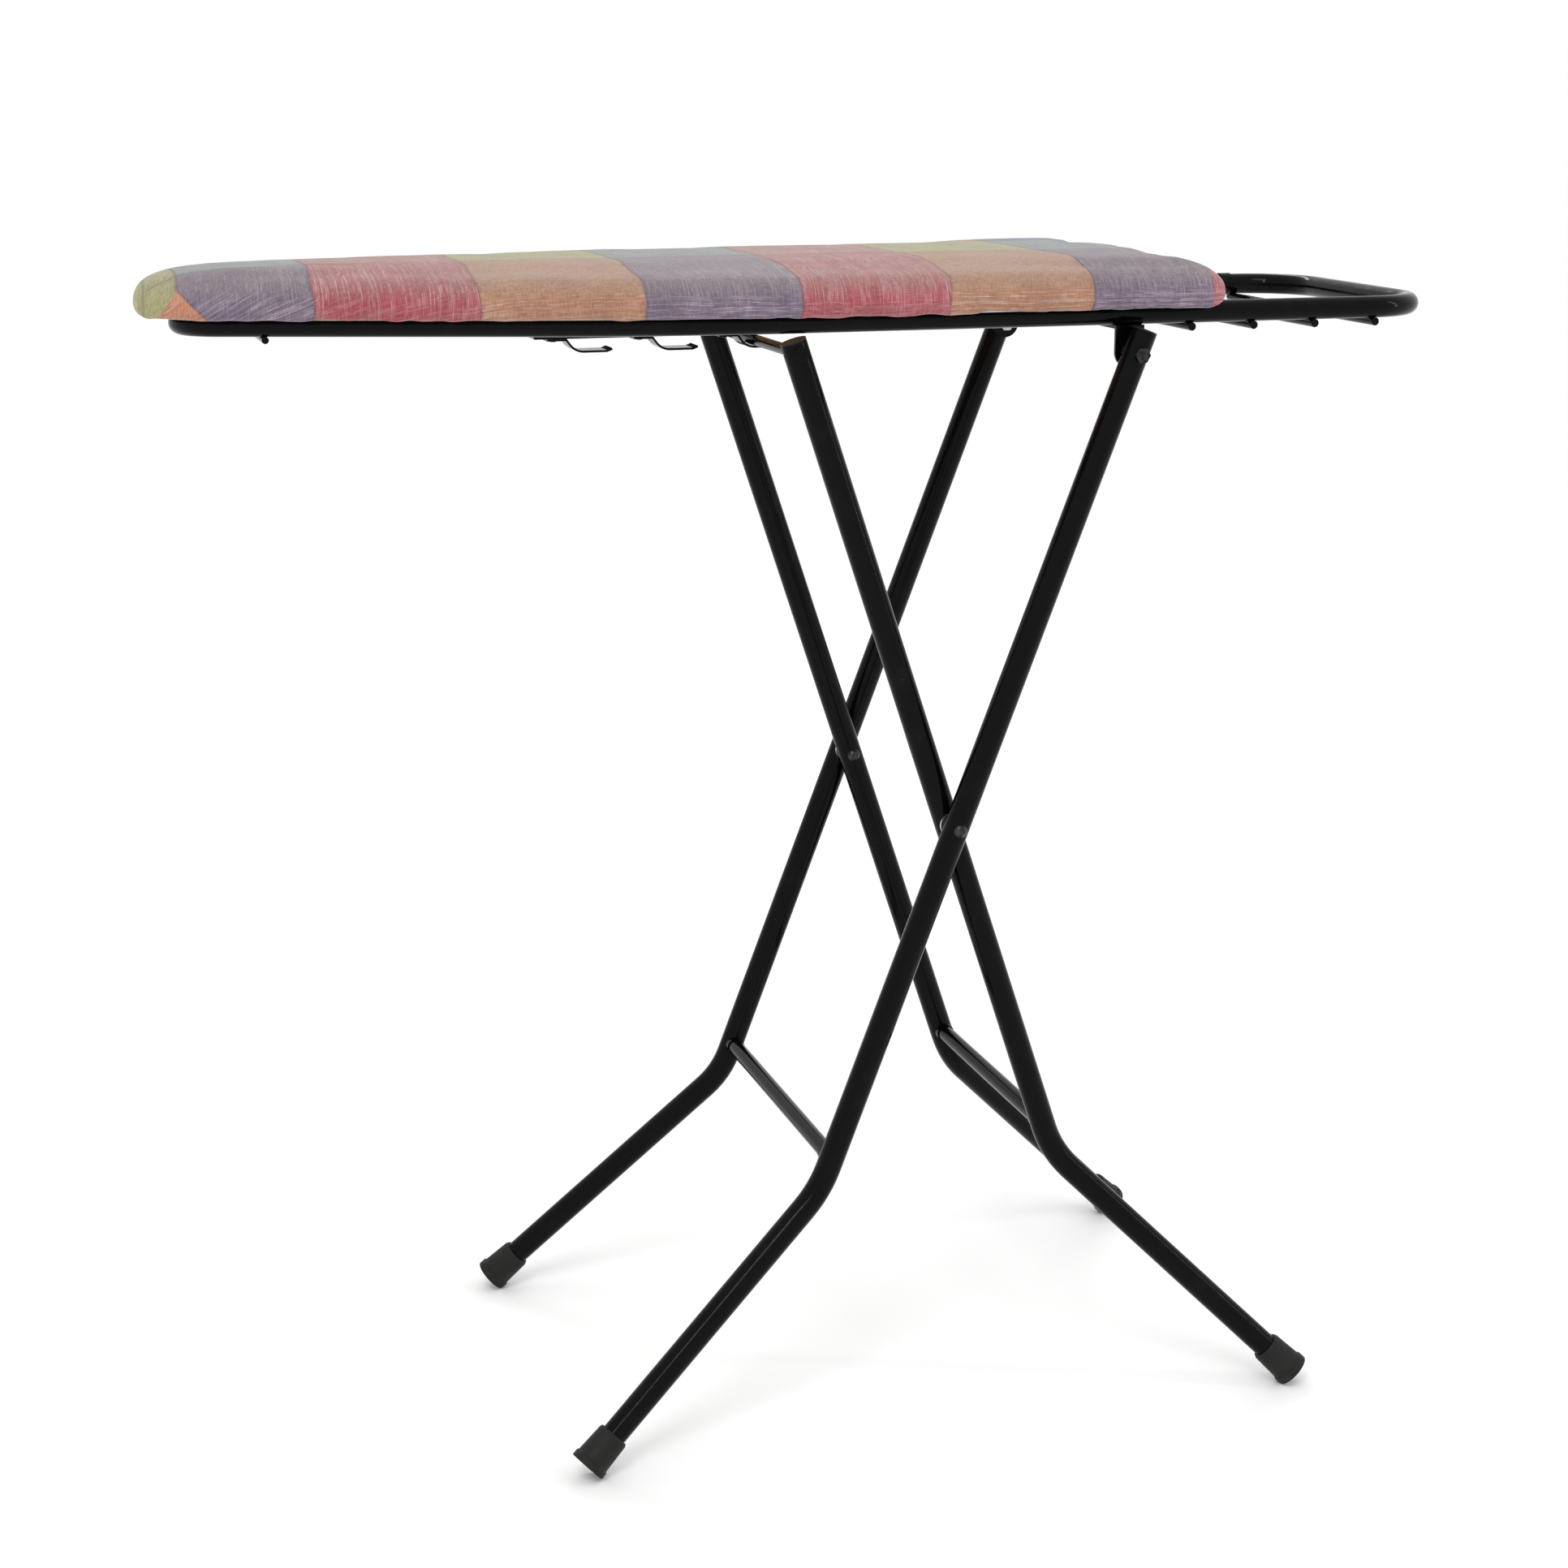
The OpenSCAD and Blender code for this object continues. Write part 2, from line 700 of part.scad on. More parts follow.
module crossing_rivets() {
    out_y = outer_y + leg_r;
    in_y = inner_y - leg_r - side_play;
    color(zinc) both_sides() {
        leg_pin(crossing, in_y - rivet_h / 2, out_y + rivet_h / 2, pin_r);
        translate([crossing[0], out_y, crossing[1]]) rotate([-90, 0, 0]) rivet_head();
        translate([crossing[0], in_y, crossing[1]]) rotate([90, 0, 0]) rivet_head();
    }
}

// Pin across the board at [x, z]
module leg_pin(at, y0, y1, r) {
    rod([at[0], y0, at[1]], [at[0], y1, at[1]], r);
}

// Domed head standing on z = 0
module rivet_head() {
    ball_r = (rivet_r * rivet_r + rivet_h * rivet_h) / 2 / rivet_h;
    intersection() {
        translate([0, 0, rivet_h - ball_r]) sphere(r = ball_r);
        cylinder(h = rivet_h, r = rivet_r + 1);
    }
}

module crossing_washers() {
    color(zinc) both_sides() translate([crossing[0], outer_y - leg_r, crossing[1]]) rotate([90, 0, 0])
        difference() {
            cylinder(h = leg_gap - side_play, r = leg_r - 1);
            translate([0, 0, -1]) cylinder(h = leg_gap + 2, r = pin_r);
        }
}

bar_head_h = 1.6;

// Bar across the inner legs, open at its middle where it would lie in a hook
module catch_bar() {
    end_y = inner_y + leg_r;
    color(steel_black) both_sides() {
        leg_pin(bar, hook_w / 2 + open_play, end_y, bar_d / 2);
        leg_pin(bar, end_y, end_y + bar_head_h, bar_d / 2 + bar_head_h);
    }
}

sole_rim = 5;
foot_step = 1;

// Rubber cap on a leg's foot, with its sole's edge pressed flat on the floor
module foot(path) {
    d = unit(path[1] - path[2]);
    sole_r = foot_sole_d / 2;
    top_r = foot_top_d / 2;
    color(rubber_black) difference() {
        translate(path[2]) rotate([0, acos(d[2]), atan2(d[1], d[0])]) rotate_extrude() polygon([[0, 0],
            [sole_r, 0], [sole_r, sole_rim], [sole_r - foot_step, sole_rim + foot_step],
            [top_r, foot_l - 2 * foot_step], [top_r - foot_step, foot_l], [leg_r, foot_l], [leg_r, sole_t],
            [0, sole_t]]);
        translate([path[2][0], path[2][1], -foot_sole_d]) cylinder(h = foot_sole_d, r = 2 * foot_sole_d);
    }
}

module outer_foot_back() {
    foot(outer_path);
}

module outer_foot_front() {
    mirror([0, 1, 0]) foot(outer_path);
}

module inner_foot_back() {
    foot(inner_path);
}

module inner_foot_front() {
    mirror([0, 1, 0]) foot(inner_path);
}

cover();
pad();
hem_elastic();
board_panel();
nose_tube();
rest_tube();
tube_joint_sleeve();
nose_cross_rod();
rest_rod(0);  // rest_rod_1
rest_rod(1);  // rest_rod_2
rest_rod(2);  // rest_rod_3
rest_rod(3);  // rest_rod_4
mounting_tabs();
tab_screws();
pivot_bracket();
pivot_bolts();
pivot_nuts();
pivot_washers();
hook_carrier();
carrier_screws();
height_hook(0);  // height_hook_1
height_hook(1);  // height_hook_2
height_hook(2);  // height_hook_3
hook_rivets();
outer_leg_front();
outer_leg_back();
outer_strut();
outer_leg_plugs();
crossing_rivets();
crossing_washers();
outer_foot_front();
outer_foot_back();
inner_leg_front();
inner_leg_back();
inner_strut();
inner_leg_plugs();
catch_bar();
inner_foot_front();
inner_foot_back();
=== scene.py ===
import json
from math import cos, hypot, pi, radians, sin, tan

import bmesh
import bpy
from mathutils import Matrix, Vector, noise


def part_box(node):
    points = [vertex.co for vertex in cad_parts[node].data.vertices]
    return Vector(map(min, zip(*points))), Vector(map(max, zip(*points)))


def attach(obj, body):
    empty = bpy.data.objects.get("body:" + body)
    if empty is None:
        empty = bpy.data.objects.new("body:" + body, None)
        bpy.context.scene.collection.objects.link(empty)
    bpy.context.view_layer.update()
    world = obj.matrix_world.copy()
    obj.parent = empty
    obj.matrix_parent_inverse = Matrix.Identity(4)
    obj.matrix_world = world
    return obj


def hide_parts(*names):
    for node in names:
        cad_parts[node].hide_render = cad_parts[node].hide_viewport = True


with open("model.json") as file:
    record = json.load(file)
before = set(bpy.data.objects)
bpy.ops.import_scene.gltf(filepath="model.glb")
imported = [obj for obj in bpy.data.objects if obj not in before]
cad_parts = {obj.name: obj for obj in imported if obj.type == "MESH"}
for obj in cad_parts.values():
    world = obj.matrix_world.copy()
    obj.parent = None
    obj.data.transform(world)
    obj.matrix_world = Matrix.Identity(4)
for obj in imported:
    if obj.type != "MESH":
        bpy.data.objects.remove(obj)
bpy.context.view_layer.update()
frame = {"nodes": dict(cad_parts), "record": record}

nodes = frame["nodes"]
MM = 0.001

# ---- places and sizes, from the frame ----

cover_low, cover_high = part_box("cover")
panel_low, panel_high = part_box("board_panel")
pad_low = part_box("pad")[0]
rail_low, rail_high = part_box("rest_tube")
bar_low, bar_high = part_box("catch_bar")

NOSE_R = 57 * MM
TAPER = radians(17)
SHOULDER_R = 711 * MM
CORNER_R = 18 * MM
HALF_W = panel_high.y
NOSE_C = panel_low.x + NOSE_R
HEM_W = 14 * MM
TOP_Z = cover_high.z
HEM_Z = cover_low.z

# ---- plan of the board, as points round its edge grown by e ----


def rounded(points, radii, step):
    """Closed outline through the points, each corner rounded by its radius, with about one point per step."""
    outline = []
    count = len(points)
    for i, corner in enumerate(points):
        before, after = points[i - 1], points[(i + 1) % count]
        a = (corner - before).normalized()
        b = (after - corner).normalized()
        turn = a.angle(b)
        back = radii[i] * tan(turn / 2)
        side = 1 if a.x * b.y - a.y * b.x > 0 else -1
        start = corner - a * back
        centre = start + Vector((-a.y, a.x)) * side * radii[i]
        arm = start - centre
        pieces = max(2, int(radii[i] * turn / step))
        for k in range(pieces + 1):
            angle = side * turn * k / pieces
            outline.append(centre + Vector((arm.x * cos(angle) - arm.y * sin(angle),
                                            arm.x * sin(angle) + arm.y * cos(angle))))
        end = outline[-1]
        next_turn = b.angle((points[(i + 2) % count] - after).normalized())
        target = after - b * radii[(i + 1) % count] * tan(next_turn / 2)
        gaps = int((target - end).length / step)
        outline += [end.lerp(target, k / gaps) for k in range(1, gaps)]
    return outline


def plan(grow, step=6 * MM):
    """The board's outline, grown past the panel's edge."""
    apex = NOSE_C - (NOSE_R + grow) / sin(TAPER)
    y = HALF_W + grow
    shoulder = apex + y / tan(TAPER)
    end = panel_high.x + grow
    points = [Vector(p) for p in ((apex, 0), (shoulder, y), (end, y), (end, -y), (shoulder, -y))]
    corner = max(CORNER_R + grow, 4 * MM)
    return rounded(points, [NOSE_R + grow, SHOULDER_R + grow, corner, corner, SHOULDER_R + grow], step)


def new_mesh(name, bm):
    bmesh.ops.recalc_face_normals(bm, faces=bm.faces)
    mesh = bpy.data.meshes.new(name)
    bm.to_mesh(mesh)
    bm.free()
    piece = bpy.data.objects.new(name, mesh)
    bpy.context.scene.collection.objects.link(piece)
    mesh.shade_smooth()
    return piece


def lofted(name, profile, step=6 * MM):
    """Closed solid through rings of the plan: profile holds (growth past the panel's edge, height)."""
    base = plan(0, step)
    count = len(base)
    bm = bmesh.new()
    rings = []
    for grow, z in profile:
        ring = []
        for i, point in enumerate(base):
            along = (base[(i + 1) % count] - base[i - 1]).normalized()
            out = Vector((along.y, -along.x)) if outward_is_right else Vector((-along.y, along.x))
            spot = point + out * grow
            ring.append(bm.verts.new((spot.x, spot.y, z)))
        rings.append(ring)
    for low, high in zip(rings, rings[1:]):
        for i in range(count):
            j = (i + 1) % count
            bm.faces.new((low[i], low[j], high[j], high[i]))
    bm.faces.new(rings[0])
    bm.faces.new(rings[-1])
    return new_mesh(name, bm)


def turns_clockwise(points):
    area = sum(a.x * b.y - b.x * a.y for a, b in zip(points, points[1:] + points[:1]))
    return area < 0


outward_is_right = not turns_clockwise(plan(0))

# ---- shader helpers ----

THREAD_PITCH = 1.2 * MM


class Shader:
    """One material with its Principled shader, and short ways to add nodes."""

    def __init__(self, name, **sockets):
        self.material = bpy.data.materials.new(name)
        self.material.use_nodes = True
        self.tree = self.material.node_tree
        self.surface = self.tree.nodes["Principled BSDF"]
        for key, value in sockets.items():
            self.surface.inputs[key.replace("_", " ")].default_value = value
        self.place = self.add("ShaderNodeTexCoord").outputs["Object"]

    def add(self, kind, **values):
        node = self.tree.nodes.new(kind)
        for key, value in values.items():
            setattr(node, key, value)
        return node

    def link(self, source, target):
        self.tree.links.new(source, target)

    def put(self, value, target):
        if isinstance(value, (int, float, tuple)):
            target.default_value = value
        else:
            self.link(value, target)

    def math(self, operation, a, b=0.0, c=0.0, clamp=False):
        node = self.add("ShaderNodeMath", operation=operation, use_clamp=clamp)
        for value, target in zip((a, b, c), node.inputs):
            self.put(value, target)
        return node.outputs[0]

    def vector(self, x, y, z):
        node = self.add("ShaderNodeCombineXYZ")
        for value, target in zip((x, y, z), node.inputs):
            self.put(value, target)
        return node.outputs[0]

    def noise(self, where, scale, detail=3.0, rough=0.6):
        node = self.add("ShaderNodeTexNoise")
        self.link(where, node.inputs["Vector"])
        node.inputs["Scale"].default_value = scale
        node.inputs["Detail"].default_value = detail
        node.inputs["Roughness"].default_value = rough
        return node.outputs["Fac"]

    def threads(self, beside, along, seed):
        """Pale slubs: one straight thread per step of beside, each with its own paleness, fading along it."""
        counted = self.math("DIVIDE", beside, THREAD_PITCH)
        number = self.math("FLOOR", counted)
        dice = self.add("ShaderNodeTexWhiteNoise", noise_dimensions="2D")
        self.link(self.vector(number, seed, 0.0), dice.inputs["Vector"])
        slub = self.vector(self.math("MULTIPLY", along, 55.0), self.math("MULTIPLY", number, 3.7), seed)
        slub = self.noise(slub, 1.0, 2)
        round_thread = self.math("SINE", self.math("MULTIPLY", self.math("FRACT", counted), pi))
        chosen = self.spread(dice.outputs["Value"], 0.05, 0.95, 0.15, 1.0)
        shown = self.math("MULTIPLY", chosen, round_thread)
        return self.math("MULTIPLY", shown, self.spread(slub, 0.34, 0.60, 0.1))

    def spread(self, value, low, high, to_low=0.0, to_high=1.0, smooth=True):
        node = self.add("ShaderNodeMapRange", interpolation_type="SMOOTHSTEP" if smooth else "LINEAR")
        self.link(value, node.inputs["Value"])
        for key, number in zip(("From Min", "From Max", "To Min", "To Max"), (low, high, to_low, to_high)):
            node.inputs[key].default_value = number
        return node.outputs["Result"]

    def mix(self, share, a, b, blend="MIX"):
        node = self.add("ShaderNodeMix", data_type="RGBA", blend_type=blend)
        self.put(share, node.inputs["Factor"])
        self.put(a, node.inputs[6])
        self.put(b, node.inputs[7])
        return node.outputs[2]

    def steps(self, value, colours):
        """Constant bands of colour over 0 to 1."""
        node = self.add("ShaderNodeValToRGB")
        ramp = node.color_ramp
        ramp.interpolation = "CONSTANT"
        while len(ramp.elements) < len(colours):
            ramp.elements.new(0.5)
        for i, colour in enumerate(colours):
            ramp.elements[i].position = i / len(colours)
            ramp.elements[i].color = colour
        self.link(value, node.inputs["Fac"])
        return node.outputs["Color"]

    def bump(self, height, distance, strength=1.0, below=None):
        node = self.add("ShaderNodeBump")
        node.inputs["Distance"].default_value = distance
        node.inputs["Strength"].default_value = strength
        self.link(height, node.inputs["Height"])
        if below is not None:
            self.link(below, node.inputs["Normal"])
        return node.outputs["Normal"]

    def finish(self, colour=None, roughness=None, normal=None):
        for value, key in ((colour, "Base Color"), (roughness, "Roughness"), (normal, "Normal")):
            if value is not None:
                self.put(value, self.surface.inputs[key])
        return self.material


def linear(red, green, blue):
    """Linear colour of an sRGB colour given in 0 to 255."""
    def one(c):
        c = c / 255
        return c / 12.92 if c <= 0.04045 else ((c + 0.055) / 1.055) ** 2.4
    return (one(red), one(green), one(blue), 1.0)


# ---- materials ----


def enamel(name):
    """Gloss black enamel on steel: a slight orange peel, hairline scratches and a little dust."""
    s = Shader(name, Specular_IOR_Level=0.09)
    dust = s.spread(s.noise(s.place, 34, 5), 0.52, 0.80)
    stretched = s.add("ShaderNodeMapping")
    s.link(s.place, stretched.inputs["Vector"])
    stretched.inputs["Scale"].default_value = (160, 1500, 1500)
    stretched.inputs["Rotation"].default_value = (0.2, 0.4, 0.1)
    scratches = s.spread(s.noise(stretched.outputs["Vector"], 1.0, 1), 0.74, 0.80)
    scratches = s.math("MULTIPLY", scratches, s.spread(s.noise(s.place, 14, 2), 0.54, 0.66))
    colour = s.mix(s.math("MULTIPLY", dust, 0.10), (0.0018, 0.0018, 0.0022, 1), (0.026, 0.025, 0.024, 1))
    colour = s.mix(s.math("MULTIPLY", scratches, 0.5), colour, (0.11, 0.11, 0.11, 1))
    rough = s.spread(s.noise(s.place, 90, 4), 0.3, 0.7, 0.09, 0.17)
    normal = s.bump(s.noise(s.place, 240, 2), 0.0002, 0.25)
    normal = s.bump(scratches, 0.0001, 0.4, normal)
    return s.finish(colour, rough, normal)


def plated(name, dark, light, rough_low, rough_high):
    """Plated or blackened steel with fine turning marks and a mottled finish."""
    s = Shader(name, Metallic=1.0)
    mottle = s.noise(s.place, 220, 4)
    marks = s.noise(s.place, 1400, 2)
    colour = s.mix(s.spread(mottle, 0.35, 0.65), dark, light)
    rough = s.spread(marks, 0.3, 0.7, rough_low, rough_high)
    return s.finish(colour, rough, s.bump(marks, 0.00012, 0.5))


def moulded(name, tint, dusty, grain, rough_low):
    """Moulded rubber or plastic: fine grain, dust that gathers low down."""
    s = Shader(name, Specular_IOR_Level=0.22)
    fine = s.noise(s.place, grain, 4)
    cloud = s.noise(s.place, 60, 4)
    height = s.add("ShaderNodeSeparateXYZ")
    s.link(s.place, height.inputs[0])
    low = s.spread(height.outputs["Z"], 0.0, 0.022, 1.0, 0.15)
    dirt = s.math("MULTIPLY", s.spread(cloud, 0.42, 0.75), low)
    colour = s.mix(s.math("MULTIPLY", dirt, 0.45), tint, dusty)
    rough = s.spread(fine, 0.3, 0.7, rough_low, rough_low + 0.16)
    return s.finish(colour, rough, s.bump(fine, 0.0002, 0.55))


def plywood(name):
    """Sanded plywood: grain along the board, with fine pores."""
    s = Shader(name)
    axes = s.add("ShaderNodeSeparateXYZ")
    s.link(s.place, axes.inputs[0])
    x, y, z = axes.outputs
    along = s.vector(s.math("MULTIPLY", x, 3.0), s.math("MULTIPLY", y, 46.0), s.math("MULTIPLY", z, 46.0))
    grain = s.noise(along, 1.0, 6)
    pores = s.noise(s.vector(s.math("MULTIPLY", x, 60.0), s.math("MULTIPLY", y, 1600.0),
                             s.math("MULTIPLY", z, 300.0)), 1.0, 2)
    colour = s.mix(s.spread(grain, 0.3, 0.7), linear(198, 158, 108), linear(163, 118, 72))
    colour = s.mix(s.spread(pores, 0.62, 0.75, 0.0, 0.5), colour, linear(112, 76, 44))
    return s.finish(colour, s.spread(grain, 0.3, 0.7, 0.55, 0.7), s.bump(pores, 0.0002, 0.4))


def felt(name, light, dark):
    """Needled felt: short tangled fibres."""
    s = Shader(name, Sheen_Weight=0.4, Sheen_Roughness=0.6)
    fibres = s.noise(s.place, 900, 5, 0.75)
    clumps = s.noise(s.place, 90, 4)
    colour = s.mix(s.spread(clumps, 0.35, 0.7), light, dark)
    return s.finish(colour, 0.95, s.bump(fibres, 0.0008, 0.7))


def woven_elastic(name):
    """Flat woven elastic: ribs across a white band."""
    s = Shader(name, Sheen_Weight=0.2)
    axes = s.add("ShaderNodeSeparateXYZ")
    s.link(s.place, axes.inputs[0])
    diagonal = s.math("ADD", axes.outputs[0], s.math("MULTIPLY", axes.outputs[1], 0.6))
    ribs = s.math("SINE", s.math("MULTIPLY", diagonal, 4200.0))
    colour = s.mix(s.spread(ribs, -1, 1), linear(206, 203, 196), linear(232, 230, 224))
    return s.finish(colour, 0.85, s.bump(ribs, 0.0003, 0.6))


# Columns of patches along the board, and their colours in turn, in three rows across it
PATCH_PITCH = 107.9 * MM
FIRST_SEAM_X = -467.6 * MM
END_SEAM_X = panel_high.x - 12.5 * MM
ROW_SEAMS = (-31 * MM, 82 * MM)
NOSE_SEAM_X = cover_low.x + 24 * MM
WALL_START = 7 * MM
PULL_END_X = cover_low.x + 370 * MM
PULL_CLIMB = 100 * MM
FRONT_ROW = (linear(98, 82, 112), linear(158, 50, 70), linear(166, 114, 84))
MIDDLE_ROW = (linear(110, 130, 134), linear(158, 92, 88), linear(158, 156, 102))
BACK_ROW = (linear(70, 100, 150), linear(160, 76, 82), linear(166, 120, 90))
NOSE_COLOUR = linear(156, 152, 104)
GUSSET_COLOUR = linear(182, 112, 78)


def grey(share):
    """A share between 0 and 1 as a colour, for the stepped bands."""
    return (share, share, share, 1)


def patchwork(name):
    """Chambray patches with pale slub threads. Columns and rows are cut and sewn, so each has its own weave."""
    s = Shader(name, Sheen_Weight=0.22, Sheen_Roughness=0.45, Specular_IOR_Level=0.22)
    axes = s.add("ShaderNodeSeparateXYZ")
    s.link(s.place, axes.inputs[0])
    x, y, z = axes.outputs
    depth = s.math("MAXIMUM", s.math("SUBTRACT", TOP_Z - 4 * MM, z), 0.0)
    side = s.math("SIGN", y)
    # On the side wall the rows run on down, so the distance from the middle line is dropped there
    wall = s.math("GREATER_THAN", depth, WALL_START)
    down = s.math("MULTIPLY", side, s.math("ADD", depth, HALF_W))
    across = s.add("ShaderNodeMix", data_type="FLOAT")
    s.put(across.inputs["Factor"], wall)
    s.put(across.inputs["A"], s.math("ADD", y, s.math("MULTIPLY", side, depth)))
    s.put(across.inputs["B"], down)
    across = across.outputs["Result"]
    # The cloth is pulled round the nose, so the threads along the board climb the side wall there
    near_nose = s.math("DIVIDE", s.math("SUBTRACT", PULL_END_X, x), PULL_END_X - cover_low.x)
    near_nose = s.math("MAXIMUM", near_nose, 0.0)
    climb = s.math("MULTIPLY", s.math("POWER", near_nose, 3.0), PULL_CLIMB)
    weft_place = s.math("SUBTRACT", s.math("MULTIPLY", across, side), climb)
    wander = s.math("MULTIPLY", s.math("SUBTRACT", s.noise(s.place, 16, 2), 0.5), 0.010)
    cut_x = s.math("ADD", x, wander)
    cut_y = s.math("ADD", across, wander)

    column = s.math("FLOOR", s.math("DIVIDE", s.math("SUBTRACT", cut_x, FIRST_SEAM_X), PATCH_PITCH))
    turn = s.math("FRACT", s.math("DIVIDE", s.math("ADD", column, 0.25), 3.0))
    past_first = s.math("GREATER_THAN", cut_y, ROW_SEAMS[0])
    past_second = s.math("GREATER_THAN", cut_y, ROW_SEAMS[1])
    dyed = s.mix(past_first, s.steps(turn, FRONT_ROW), s.steps(turn, MIDDLE_ROW))
    dyed = s.mix(past_second, dyed, s.steps(turn, BACK_ROW))
    dyed = s.mix(s.math("GREATER_THAN", cut_x, END_SEAM_X), dyed, FRONT_ROW[1])
    below = s.math("MAXIMUM", s.math("SUBTRACT", depth, 6 * MM), 0.0)
    gusset_end = s.math("ADD", s.math("MULTIPLY", below, 0.95), NOSE_SEAM_X)
    gusset_start = s.math("SUBTRACT", NOSE_SEAM_X, s.math("MULTIPLY", below, 0.7))
    dyed = s.mix(s.math("LESS_THAN", cut_x, gusset_end), dyed, GUSSET_COLOUR)
    on_nose = s.math("LESS_THAN", cut_x, gusset_start)
    dyed = s.mix(on_nose, dyed, NOSE_COLOUR)

    # Threads: every thread has its own paleness, and slubs come and go along it
    patch_id = s.math("ADD", column, s.math("ADD", s.math("MULTIPLY", past_first, 7.0), past_second))
    sway = s.math("MULTIPLY", s.math("SUBTRACT", s.noise(s.place, 30, 1), 0.5), 4 * MM)
    warp = s.threads(s.math("ADD", x, sway), across, patch_id)
    weft = s.threads(s.math("ADD", weft_place, sway), x, s.math("ADD", patch_id, 40.0))
    warp_share = s.steps(turn, (grey(0.62), grey(1.0), grey(0.18)))
    weft_share = s.steps(turn, (grey(1.0), grey(0.62), grey(1.0)))
    low_down = s.spread(depth, 5 * MM, 17 * MM, 0.30, 1.0)
    weft_share = s.math("MULTIPLY", weft_share, low_down)
    warp_share = s.math("MULTIPLY", warp_share, s.spread(depth, 8 * MM, 20 * MM, 1.0, 0.6))
    patchy = s.spread(s.noise(s.place, 22, 3), 0.30, 0.70, 0.55, 1.0)
    pale = s.math("MAXIMUM", s.math("MULTIPLY", warp, warp_share), s.math("MULTIPLY", weft, weft_share))
    bare = s.math("SUBTRACT", 1.0, s.math("MULTIPLY", on_nose, 0.9))
    pale = s.math("MULTIPLY", s.math("MULTIPLY", pale, patchy), bare)
    colour = s.mix(s.math("MULTIPLY", pale, 0.72), dyed, linear(206, 190, 186))
    fine = s.noise(s.vector(s.math("MULTIPLY", x, 1500.0), s.math("MULTIPLY", across, 140.0),
                            patch_id), 1.0, 1)
    fine_weft = s.noise(s.vector(s.math("MULTIPLY", x, 140.0), s.math("MULTIPLY", weft_place, 1500.0),
                                 patch_id), 1.0, 1)
    shade = s.math("MULTIPLY", s.spread(s.noise(s.place, 40, 4), 0.40, 0.68), 0.30)
    colour = s.mix(shade, colour, s.mix(1.0, dyed, (0.50, 0.42, 0.44, 1), "MULTIPLY"))
    # Painted sheen: the top is mixed toward a pale grey, less so down the side walls, which keep their colour;
    # noise makes it uneven
    painted_sheen_top = s.spread(depth, 0.0, 15 * MM, 0.44, 0.12)
    painted_sheen = s.math("MULTIPLY", painted_sheen_top, s.spread(s.noise(s.place, 9, 4), 0.3, 0.7, 0.75, 1.0))
    colour = s.mix(painted_sheen, colour, linear(150, 143, 132))
    heather = s.spread(s.math("MULTIPLY", fine, fine_weft), 0.14, 0.38, 0.74, 1.16, smooth=False)
    colour = s.mix(1.0, colour, s.vector(heather, heather, heather), "MULTIPLY")

    # Seams: a narrow stitched valley at each cut, with painted shade darkening the cloth along the valley
    into = s.math("FRACT", s.math("DIVIDE", s.math("SUBTRACT", cut_x, FIRST_SEAM_X), PATCH_PITCH))
    from_seam = s.math("MULTIPLY", s.math("MINIMUM", into, s.math("SUBTRACT", 1.0, into)), PATCH_PITCH)
    from_row = s.math("MINIMUM", s.math("ABSOLUTE", s.math("SUBTRACT", cut_y, ROW_SEAMS[0])),
                      s.math("ABSOLUTE", s.math("SUBTRACT", cut_y, ROW_SEAMS[1])))
    from_nose = s.math("ABSOLUTE", s.math("SUBTRACT", cut_x, gusset_end))
    gap = s.math("MINIMUM", s.math("MINIMUM", from_seam, from_row), from_nose)
    valley = s.spread(gap, 0.0, 1.6 * MM)
    # painted shade: the cloth colour multiplied darker in the seam valleys
    seam_painted_shade = s.mix(1.0, colour, (0.3, 0.28, 0.3, 1), "MULTIPLY")
    colour = s.mix(s.spread(gap, 0.0, 0.9 * MM, 0.35, 0.0), colour, seam_painted_shade)
    threads = s.math("ADD", s.math("MULTIPLY", s.math("ADD", warp, weft), 0.4),
                     s.math("MULTIPLY", s.math("ADD", fine, fine_weft), 0.5))
    normal = s.bump(threads, 0.0007, 0.45)
    normal = s.bump(valley, 0.0012, 0.7, normal)
    return s.finish(colour, s.spread(fine, 0.3, 0.7, 0.80, 0.92), normal)


MATERIALS = {
    "cover_fabric": patchwork("patchwork_cloth"),
    "pad_felt": felt("needled_felt", linear(222, 216, 200), linear(196, 189, 172)),
    "elastic": woven_elastic("woven_elastic"),
    "plywood": plywood("sanded_plywood"),
    "black_enamel": enamel("black_enamel"),
    "dark_steel": plated("dark_steel", (0.020, 0.020, 0.022, 1), (0.055, 0.054, 0.054, 1), 0.22, 0.4),
    "zinc": plated("zinc_plate", (0.42, 0.42, 0.44, 1), (0.62, 0.61, 0.58, 1), 0.24, 0.46),
    "black_rubber": moulded("black_rubber", (0.0075, 0.0075, 0.007, 1), (0.050, 0.046, 0.040, 1), 700, 0.52),
    "black_plastic": moulded("black_plastic", (0.007, 0.007, 0.0075, 1), (0.04, 0.038, 0.036, 1), 1200, 0.34),
}


def dress(piece, slot_name):
    piece.data.materials.clear()
    piece.data.materials.append(MATERIALS[slot_name])
    return piece


SMOOTH_ANGLE = radians(32)
for entry in frame["record"]["subparts"]:
    carried = nodes[entry["node"]]
    dress(carried, entry["material_slot"])
    carried.data.shade_smooth()
    carried.data.set_sharp_from_angle(angle=SMOOTH_ANGLE)

# ---- cover: a sheet stretched over pad and panel, its hem turned under ----

VOXEL = 5 * MM
SIM_FRAMES = 20
MOVE_CAP = 5 * MM
SINK = 0.3 * MM
TOP_LIFT = 0.3
EDGE_BAND = 40 * MM
HELD_UP_TO = 3 * MM
# Rings of the cover in mm: how far each stands out past the panel's edge, and its height above the hem
COVER_PROFILE = [(-26, -1.2), (-14, -1.2), (-2, -1.4), (2.2, 0.2), (3.6, 4), (4.2, 9), (3.4, 14), (0.8, 19),
                 (-4.6, 23.8), (-12, 27), (-23, 28.9), (-38, 29.7)]


